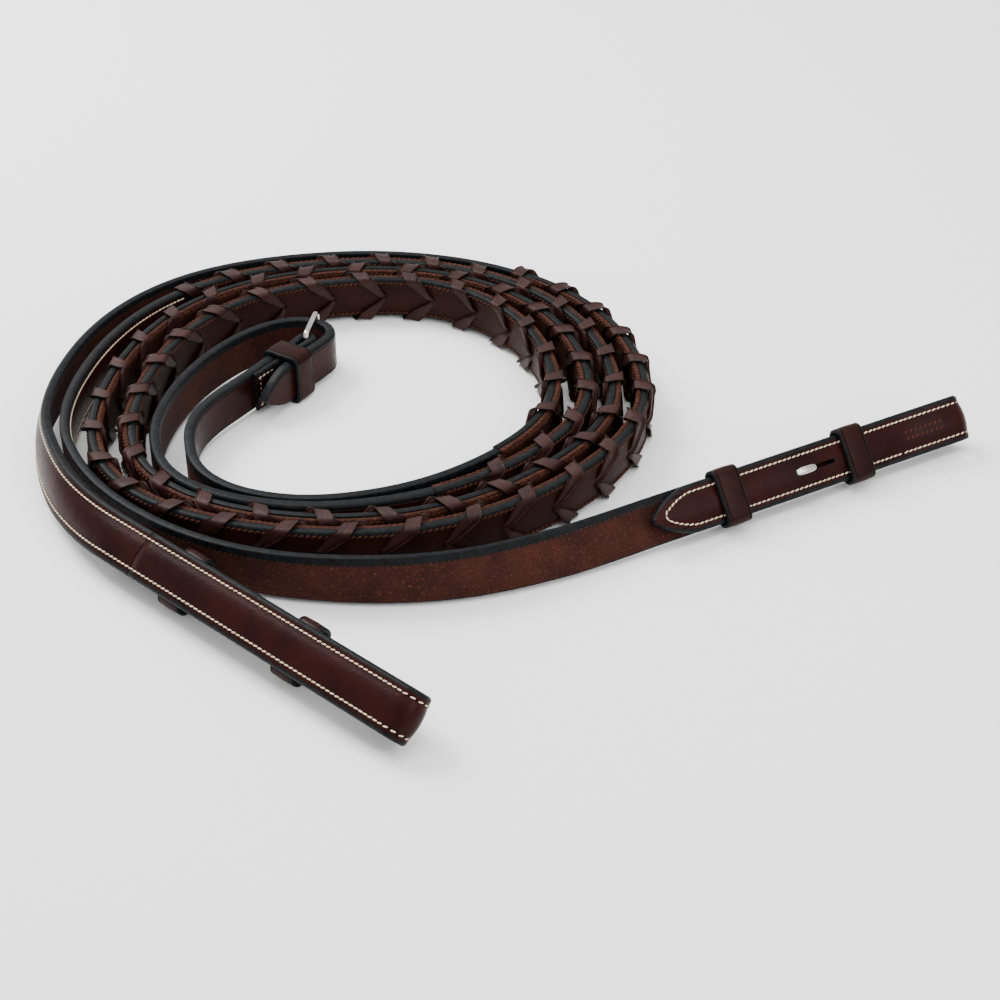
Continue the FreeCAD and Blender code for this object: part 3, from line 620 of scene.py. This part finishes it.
# Lacing --------------------------------------------------------------------------------------
laceShape = {"wide": 4.9, "thick": 1.15, "pitch": 20.0, "rise": 7.3, "steps": 9, "turnSteps": 9,
             "hugAt": 8.5, "hug": 0.67}


def lacingPiece(rein):
    first, last = rein.settings["laced"]
    slits = np.arange(first + laceShape["pitch"] / 2, last - laceShape["rise"] - 2, laceShape["pitch"])
    half = (gripShape["grainThick"] + gripShape["liningThick"]) / 2
    raised = half + laceShape["thick"] / 2 - 0.1
    edge = gripShape["width"] / 2
    steps = laceShape["steps"]
    # One leg: from the slit out to the edge, round it as half an ellipse, and in to the slit before.
    outShare = np.linspace(0, 1, steps)
    turn = np.linspace(0, math.pi, laceShape["turnSteps"] + 2)[1:-1]
    aside = np.concatenate((0.5 + outShare * (edge - 0.9), edge - 0.3 + 1.55 * np.sin(turn),
                            (0.5 + outShare * (edge - 0.9))[::-1]))
    plunge = np.clip(outShare / 0.25, 0, 1)
    face = half - 0.5 + (raised - half + 0.5) * np.sqrt(plunge)
    depth = np.concatenate((face, raised * np.cos(turn), -face[::-1]))
    # The lace goes back by its rise on each face and by the rest of its pitch over the edge.
    crossing = laceShape["pitch"] - 2 * laceShape["rise"]
    shift = np.concatenate((-laceShape["rise"] * outShare,
                            -laceShape["rise"] - crossing * (0.1 + 0.8 * turn / math.pi),
                            -crossing - laceShape["rise"] * (1 + outShare)))
    normalTurn = np.concatenate((np.zeros(steps), turn, np.full(steps, math.pi)))
    centres = []
    widthAxes = []
    normals = []
    widths = []
    for slit in slits:
        for sign in (1, -1):
            wobble = random.normal(0, 0.5)
            distances = slit + shift + wobble * np.sin(np.linspace(0, math.pi, len(shift)))
            distances = np.clip(distances, first, last)
            middle, along, across, upward = rein.frames(distances)
            grain = across * rein.grain
            path = middle + grain * depth[:, None] + upward * (sign * aside)[:, None]
            normal = (grain * np.cos(normalTurn)[:, None]
                      + upward * (sign * np.sin(normalTurn))[:, None])
            heading = np.gradient(path, axis=0)
            heading /= np.linalg.norm(heading, axis=1, keepdims=True)
            widthAxis = np.cross(normal, heading)
            widthAxis /= np.linalg.norm(widthAxis, axis=1, keepdims=True)
            centres.append(path)
            widthAxes.append(widthAxis)
            normals.append(np.cross(heading, widthAxis))
            full = 0.94 + 0.1 * random.random()
            ends = np.clip(np.minimum(np.arange(len(path)), np.arange(len(path))[::-1]) / 7, 0.2, 1.1)
            widths.append(full * np.sqrt(ends))
    section = stripSection(laceShape["wide"], laceShape["thick"], 0.5, 0.15, 0.6, 2)
    section[:, 2] = 0
    lacing = sweep(rein.side + "Lacing", np.concatenate(centres), np.concatenate(widthAxes),
                   np.concatenate(normals), section, ("lace",), widths=np.concatenate(widths),
                   runs=len(slits) * 2)
    # Lace beyond the strap's edges is pressed towards them: a part of its reach past hugAt goes.
    places = np.empty(len(lacing.data.vertices) * 3)
    lacing.data.vertices.foreach_get("co", places)
    height = places[2::3] / mm - coilHeight
    beyond = np.maximum(np.abs(height) - laceShape["hugAt"], 0)
    places[2::3] -= np.sign(height) * beyond * laceShape["hug"] * mm
    lacing.data.vertices.foreach_set("co", places)
    lacing.data.update()
    return lacing


for side, rein in bothReins.items():
    finishPiece(lacingPiece(rein), "coil", [side + "_lacing"])
print("stage: lacing")


# Hand parts and chape ------------------------------------------------------------------------
left = bothReins["left"]
right = bothReins["right"]
chapeShape = {"start": right.length - 5.2, "reach": 7.0, "offset": 2.0, "wrap": 2.55, "back": 24.0,
              "keeperBack": 6.1, "keeperWide": 9.5}


def pointedTip(distances, end, taper):
    # Half width times (1 - u^1.6)^0.8, with u from 0 at the shoulder to 1 at the point.
    share = np.clip((distances - (end - taper)) / taper, 0, 0.999)
    return (1 - share ** 1.6) ** 0.8


leftHand = strapPiece("leftHandStrap", left, left.settings["laced"][1] - 6, left.length, handSection,
                      ("handGrain", "edge", "flesh"), wander=0.1,
                      widths=lambda s: pointedTip(s, left.length, handShape["tipTaper"]))
finishPiece(leftHand, "coil", ["left_hand_strap"])
rightHand = strapPiece("rightHandStrap", right, right.settings["laced"][1] - 6, chapeShape["start"],
                       handSection, ("handGrain", "edge", "flesh"), wander=0.1)
finishPiece(rightHand, "coil", ["right_hand_strap"])

chapeOrigin, chapeAlong, chapeAcross, chapeUp = [part[0] for part in
                                                 right.frames(np.array([chapeShape["start"]]))]
chapeSide = -chapeAcross


def localPath(origin, along, aside, points):
    points = np.asarray(points, float)
    return origin + along * points[:, :1] + aside * points[:, 1:2]


def ribbon(name, origin, along, aside, up, path, section, slots, grainTurn, widths=None, thicks=None):
    # A strip whose middle follows a path in the along-aside plane; grainTurn picks its grain side.
    centres = localPath(origin, along, aside, path)
    heading = np.gradient(np.asarray(path, float), axis=0)
    heading /= np.linalg.norm(heading, axis=1, keepdims=True)
    normal = grainTurn * (along * -heading[:, 1:2] + aside * heading[:, :1])
    return sweep(name, centres, np.broadcast_to(up, centres.shape), normal, section, slots,
                 widths=widths, thicks=thicks)


turns = np.radians(np.linspace(-90, 90, 13))
wrapCentre = np.array((chapeShape["reach"], chapeShape["offset"]))
wrapPath = wrapCentre + chapeShape["wrap"] * np.stack((np.cos(turns), np.sin(turns)), axis=1)
chapePath = np.concatenate((((-0.3, 0.0), (1.5, -0.05), (3.5, -0.25), (5.4, -0.5)), wrapPath,
                            ((4.5, 4.35), (1.0, 4.1), (-5.0, 3.7), (-12.0, 3.3), (-17.0, 3.1),
                             (-chapeShape["back"], 2.9))))
chapeThick = np.concatenate((np.linspace(1, 0.75, 4), np.full(len(wrapPath), 0.72),
                             np.linspace(0.66, 0.45, 6)))
chape = ribbon("chape", chapeOrigin, chapeAlong, chapeSide, chapeUp, chapePath, handSection,
               ("handGrain", "edge", "flesh"), -1, thicks=chapeThick)
finishPiece(chape, "coil", ["right_chape"])


def loopPath(lowT, highT, half, corner, steps=5):
    # A rounded rectangle in the across-up plane, as centres and outward directions.
    points = []
    outward = []
    for centreT, centreW, begin in ((highT - corner, half - corner, 0), (lowT + corner, half - corner, 90),
                                    (lowT + corner, -half + corner, 180),
                                    (highT - corner, -half + corner, 270)):
        for step in range(steps + 1):
            angle = math.radians(begin + 90 * step / steps)
            direction = (math.cos(angle), math.sin(angle))
            points.append((centreT + corner * direction[0], centreW + corner * direction[1]))
            outward.append(direction)
    return np.array(points), np.array(outward)


def keeperLoop(name, origin, along, aside, up, place, lowT, highT, half, wide):
    # The ring's middle line; its strip is as wide as the keeper is long.
    points, outward = loopPath(lowT, highT, half, 2.0)
    centres = origin + along * place + aside * points[:, :1] + up * points[:, 1:]
    normals = aside * outward[:, :1] + up * outward[:, 1:]
    section = stripSection(wide, 1.6, 0.65, 0.12, 1.6)
    return sweep(name, centres, np.broadcast_to(along, centres.shape), normals, section,
                 ("keeperGrain", "edge", "flesh"), closed=True)


keeper = keeperLoop("buckleKeeper", chapeOrigin, chapeAlong, chapeSide, chapeUp,
                    -chapeShape["keeperBack"], -3.0, 11.2, 8.6, chapeShape["keeperWide"])
finishPiece(keeper, "coil", ["buckle_keeper"])

ends = np.arange(-5.0, 5.1, 2.0)
base = localPath(chapeOrigin, chapeAlong, chapeSide, ((-22.0, 3.55),)) + chapeUp * ends[:, None]
rows = [(base, np.broadcast_to(chapeUp, base.shape), np.broadcast_to(chapeSide, base.shape))]
for aside in (-5.6, 5.6):
    spots = np.arange(-22.0, -12.0, 2.1)
    base = localPath(chapeOrigin, chapeAlong, chapeSide, np.stack((spots, 4.15 + 0.02 * spots), axis=1))
    rows.append((base + chapeUp * aside, np.broadcast_to(chapeAlong, base.shape),
                 np.broadcast_to(chapeSide, base.shape)))
    hidden = np.stack((spots, np.full(len(spots), -1.85)), axis=1)
    base = localPath(chapeOrigin, chapeAlong, chapeSide, hidden)
    rows.append((base + chapeUp * aside, np.broadcast_to(chapeAlong, base.shape),
                 np.broadcast_to(-chapeSide, base.shape)))
chapeStitches = stitchRows("chapeStitches", *gather(rows), "cream")
finishPiece(chapeStitches, "coil", [])
print("stage: hand parts")


# Buckle --------------------------------------------------------------------------------------
buckleShape = {"turn": 81.5, "span": 17.4, "high": 18.8, "rail": 0.85, "prongTurn": 6.9, "prong": 0.9,
               "past": 1.6}
barCentre = localPath(chapeOrigin, chapeAlong, chapeSide, (wrapCentre,))[0]


def turned(angle):
    return np.array((math.cos(math.radians(angle)), math.sin(math.radians(angle)), 0.0))


frameAlong = turned(buckleShape["turn"])
frameSide = turned(buckleShape["turn"] + 90)
frameCentre = barCentre + frameAlong * buckleShape["span"] / 2
points, outward = loopPath(-buckleShape["span"] / 2, buckleShape["span"] / 2,
                           buckleShape["high"] / 2 - buckleShape["rail"], 2.2, 6)
centres = frameCentre + frameAlong * points[:, :1] + zAxis * points[:, 1:]
normals = frameAlong * outward[:, :1] + zAxis * outward[:, 1:]
buckle = sweep("buckleFrame", centres, np.broadcast_to(frameSide, centres.shape), normals,
               roundSection(1.1, buckleShape["rail"]), ("nickel",), closed=True)
finishPiece(buckle, "buckle", ["buckle_frame"])

prongAlong = turned(buckleShape["turn"] - buckleShape["prongTurn"])
prongSide = np.cross(zAxis, prongAlong)
places = np.linspace(1.2, buckleShape["span"] + buckleShape["past"], 24)
taper = np.sqrt(np.clip((places[-1] + 0.35 - places) / 1.4, 0.05, 1))
centres = barCentre + prongAlong * places[:, None]
prong = sweep("buckleProng", centres, np.broadcast_to(prongSide, centres.shape),
              np.broadcast_to(zAxis, centres.shape), roundSection(0.9, 0.8), ("nickel",), widths=taper,
              thicks=taper)
finishPiece(prong, "prong", ["buckle_prong"])
angles = np.linspace(0, 2 * math.pi, 25)[:-1]
spokes = prongAlong * np.cos(angles)[:, None] + prongSide * np.sin(angles)[:, None]
eye = sweep("prongEye", barCentre + spokes * 1.75, np.broadcast_to(zAxis, spokes.shape), spokes,
            roundSection(1.3, 0.55), ("nickel",), closed=True)
finishPiece(eye, "prong", [])
print("stage: buckle")


# Free ends: fold, billet, keepers and hook stud ----------------------------------------------
endShape = {"foldRadius": 3.8, "nose": 5.7, "billetAt": 5.1, "billetStart": 30.0, "billetEnd": 129.0,
            "taper": 16.0, "nearKeeper": 48.5, "farKeeper": 99.5, "keeperWide": 9.5, "studAt": 71.0,
            "slit": (57.0, 72.0), "slitWide": 1.6,
            "thin": 0.84, "swell": 0.35, "swellReach": 9.0, "tipSpare": 0.4, "rowEnd": 2.9}


def studSwell(x):
    # The billet lifts over the stud: swell * exp(-(distance from the stud / swellReach)^2).
    return endShape["swell"] * np.exp(-((x - endShape["studAt"]) / endShape["swellReach"]) ** 2)


def pebble(name, centre, axes, radii, power, slots, rings=9, around=20):
    # Superellipsoid: each coordinate is its axis times sign(c) * |c|^power of the sphere's.
    tilts = np.linspace(-math.pi / 2, math.pi / 2, rings + 2)[1:-1]
    spins = np.arange(around) * 2 * math.pi / around

    def bent(values):
        return np.sign(values) * np.abs(values) ** power

    x = bent(np.cos(tilts)[:, None] * np.cos(spins))
    y = bent(np.cos(tilts)[:, None] * np.sin(spins))
    z = bent(np.sin(tilts)[:, None] * np.ones(around))
    grid = np.stack((x * radii[0], y * radii[1], z * radii[2]), axis=-1).reshape(-1, 3)
    grid = np.concatenate((grid, [(0, 0, -radii[2]), (0, 0, radii[2])]))
    vertices = centre + grid @ np.array(axes)
    faces = []
    for ring in range(rings - 1):
        for k in range(around):
            a = ring * around + k
            b = ring * around + (k + 1) % around
            faces.append((a, b, b + around, a + around))
    south = rings * around
    for k in range(around):
        faces.append((south, (k + 1) % around, k))
        faces.append((south + 1, (rings - 1) * around + k, (rings - 1) * around + (k + 1) % around))
    if np.dot(np.cross(axes[0], axes[1]), axes[2]) < 0:
        faces = [face[::-1] for face in faces]
    return linkMesh(name, vertices, faces, [0] * len(faces), slots)


def freeEnd(side, rein):
    facing = rein.facing
    origin, along, across, upward = rein.endFrame()
    radius = endShape["foldRadius"]
    nose = endShape["nose"]
    body = side + "_end"

    strapRun = np.stack((np.linspace(strapShape["bendFrom"] + 0.3, nose + 1, 34), np.zeros(34)), axis=1)
    angles = np.radians(np.linspace(-90, -270, 17))
    fold = np.stack((nose + radius * np.cos(angles), radius + radius * np.sin(angles)), axis=1)
    # The billet leaves the fold and settles onto the strap along a cosine ramp.
    slope = np.linspace(nose + 1.5, endShape["billetStart"], 10)
    share = (slope - nose) / (endShape["billetStart"] - nose)
    ramp = 2 * radius + (endShape["billetAt"] - 2 * radius) * (1 - np.cos(math.pi * share)) / 2
    run = np.linspace(endShape["billetStart"] + 1.5, endShape["billetEnd"] - endShape["taper"], 30)
    tip = endShape["billetEnd"] - endShape["taper"] * np.cos(np.linspace(0, math.pi / 2, 22))[1:]
    tip = endShape["billetEnd"] - endShape["taper"] + (tip - tip[0]) * endShape["taper"] / (tip[-1] - tip[0])
    billetX = np.concatenate((run, tip + 0.3))
    billetT = endShape["billetAt"] + studSwell(billetX)
    path = np.concatenate((strapRun, fold, np.stack((slope, ramp), axis=1),
                           np.stack((billetX, billetT), axis=1)))
    path[:, 1] *= facing
    pointAt = endShape["billetEnd"] + endShape["tipSpare"]
    widths = np.ones(len(path))
    widths[-len(billetX):] = pointedTip(billetX, pointAt, endShape["taper"])
    widths[-1] = 0.12
    thicks = np.concatenate((np.ones(len(strapRun)), np.linspace(1, endShape["thin"], len(fold)),
                             np.full(len(slope) + len(billetX), endShape["thin"])))
    strap = ribbon(side + "BitEnd", origin, along, across, upward, path, strapSection, leatherSlots, facing,
                   widths, thicks)
    cutter = pebble(side + "Slit", origin + along * sum(endShape["slit"]) / 2
                    + across * facing * (endShape["billetAt"] + 1.2), (along, across, upward),
                    ((endShape["slit"][1] - endShape["slit"][0]) / 2, 3.4, endShape["slitWide"] / 2), 0.5,
                    ["edge"])
    carve = strap.modifiers.new("slit", "BOOLEAN")
    carve.operation = "DIFFERENCE"
    carve.solver = "EXACT"
    carve.object = cutter
    bpy.context.view_layer.update()
    evaluated = bpy.context.evaluated_depsgraph_get()
    carved = bpy.data.meshes.new_from_object(strap.evaluated_get(evaluated), preserve_all_data_layers=True,
                                             depsgraph=evaluated)
    strap.modifiers.clear()
    strap.data = carved
    bpy.data.objects.remove(cutter)
    finishPiece(strap, body, [side + "_bit_end", side + "_bit_loop", side + "_billet"])

    for name in ("near", "far"):
        loop = keeperLoop(f"{side}{name.capitalize()}Keeper", origin, along, across * facing, upward,
                          endShape[name + "Keeper"], 2.7, 8.2, 9.0, endShape["keeperWide"])
        finishPiece(loop, body, [f"{side}_{name}_keeper"])

    axes = (along, upward, across * facing)
    head = pebble(side + "StudHead", origin + along * (endShape["studAt"] - 1.9)
                  + across * facing * 7.5, axes, (4.2, 1.35, 0.6), 0.7, ["nickel"])
    finishPiece(head, body, [side + "_hook_stud"])
    neckPlaces = np.linspace(2.2, 7.6, 5)
    centres = origin + along * endShape["studAt"] + across * facing * neckPlaces[:, None]
    neck = sweep(side + "StudNeck", centres, np.broadcast_to(along, centres.shape),
                 np.broadcast_to(upward, centres.shape), roundSection(1.3, 1.3), ("nickel",))
    finishPiece(neck, body, [])
    plate = pebble(side + "StudPlate", origin + along * endShape["studAt"] + across * facing * 2.6, axes,
                   (4.5, 3.5, 0.6), 0.4, ["nickel"])
    finishPiece(plate, body, [])

    # Cream rows: both edges of the grain side round the fold, then round the billet's point.
    rows = []
    pitch = strapShape["stitchPitch"]
    edgeAt = strapShape["width"] / 2 - strapShape["stitchIn"]
    folded = path[:len(strapRun) + len(fold) + len(slope)]
    reach = np.concatenate(((0,), np.cumsum(np.linalg.norm(np.diff(folded, axis=0), axis=1))))
    places = np.arange(0.8, reach[-1], pitch)
    spots = np.stack([np.interp(places, reach, folded[:, axis]) for axis in range(2)], axis=1)
    heading = np.gradient(spots, axis=0)
    heading /= np.linalg.norm(heading, axis=1, keepdims=True)
    normal = facing * (along * -heading[:, 1:] + across * heading[:, :1])
    level = strapShape["thick"] / 2 * np.interp(places, reach, thicks[:len(folded)]) + 0.02
    for edge in (-edgeAt, edgeAt):
        base = localPath(origin, along, across, spots) + normal * level[:, None] + upward * edge
        rows.append((base, along * heading[:, :1] + across * heading[:, 1:], normal))
    fine = np.linspace(spots[-1, 0] + pitch, endShape["billetEnd"] - endShape["rowEnd"], 900)
    halfWide = strapShape["width"] / 2 * pointedTip(fine, pointAt, endShape["taper"])
    slopeAngle = np.arctan(np.gradient(halfWide, fine))
    x = fine + strapShape["stitchIn"] * np.sin(slopeAngle)
    w = halfWide - strapShape["stitchIn"] * np.cos(slopeAngle)
    keep = w > 0.2
    x = np.concatenate((x[keep], x[keep][::-1]))
    w = np.concatenate((w[keep], -w[keep][::-1]))
    reach = np.concatenate(((0,), np.cumsum(np.hypot(np.diff(x), np.diff(w)))))
    places = np.arange(0, reach[-1], pitch)
    x = np.interp(places, reach, x)
    w = np.interp(places, reach, w)
    factor = pointedTip(x, pointAt, endShape["taper"])
    raised = crownRise(w / factor, strapShape["width"], strapShape["crown"])
    top = endShape["billetAt"] + studSwell(x) + (strapShape["thick"] / 2 + raised) * endShape["thin"] + 0.03
    base = origin + along * x[:, None] + upward * w[:, None] + across * facing * top[:, None]
    alongs = along * np.gradient(x)[:, None] + upward * np.gradient(w)[:, None]
    rows.append((base, alongs, np.broadcast_to(across * facing, base.shape)))
    finishPiece(stitchRows(side + "EndStitches", *gather(rows), "cream"), body, [])

    # Two short dark red rows between the fold and the first keeper.
    rows = []
    spots = np.arange(13.0, 28.0, pitch)
    level = np.interp(spots, slope, ramp)
    for w in (-1.1, 1.1):
        raised = crownRise(w, strapShape["width"], strapShape["crown"])
        lift = level + (strapShape["thick"] / 2 + raised) * endShape["thin"]
        base = origin + along * spots[:, None] + upward * w + across * facing * lift[:, None]
        rows.append((base, np.broadcast_to(along, base.shape), np.broadcast_to(across * facing, base.shape)))
    redRows = stitchRows(side + "RedRows", *gather(rows), "red", length=1.5, wide=0.6, high=0.25, slant=35.0)
    finishPiece(redRows, body, [])


for side, rein in bothReins.items():
    freeEnd(side, rein)
print("stage: free ends")


# Floor and light -----------------------------------------------------------------------------
studio = {"floor": 0.96, "world": 1.1, "key": 16.0, "fill": 5.5, "top": 14.0}
floorMesh = bpy.data.meshes.new("floor")
floorMesh.from_pydata([(-6, -6, 0), (6, -6, 0), (6, 6, 0), (-6, 6, 0)], [], [(0, 1, 2, 3)])
floor = bpy.data.objects.new("floor", floorMesh)
bpy.context.scene.collection.objects.link(floor)
floorLook, graph, shader = newMaterial("floorLook")
feed(shader, {"Base Color": (studio["floor"],) * 3 + (1.0,), "Roughness": 0.9, "Specular IOR Level": 0.1})
floorMesh.materials.append(floorLook)
world = bpy.data.worlds.new("studioWorld")
world.use_nodes = True
world.node_tree.nodes["Background"].inputs["Color"].default_value = (1.0, 1.0, 1.0, 1.0)
world.node_tree.nodes["Background"].inputs["Strength"].default_value = studio["world"]
bpy.context.scene.world = world
for name, place, power, wide in (("keyLight", (-0.6, 0.5, 0.8), studio["key"], 0.5),
                                 ("fillLight", (0.7, -0.6, 0.7), studio["fill"], 0.6),
                                 ("topLight", (0.1, 0.1, 1.3), studio["top"], 1.4)):
    data = bpy.data.lights.new(name, "AREA")
    data.energy = power
    data.size = wide
    lamp = bpy.data.objects.new(name, data)
    bpy.context.scene.collection.objects.link(lamp)
    lamp.location = place
    lamp.rotation_euler = (Vector((-0.05, 0, 0)) - Vector(place)).to_track_quat("-Z", "Y").to_euler()
print("stage: studio")
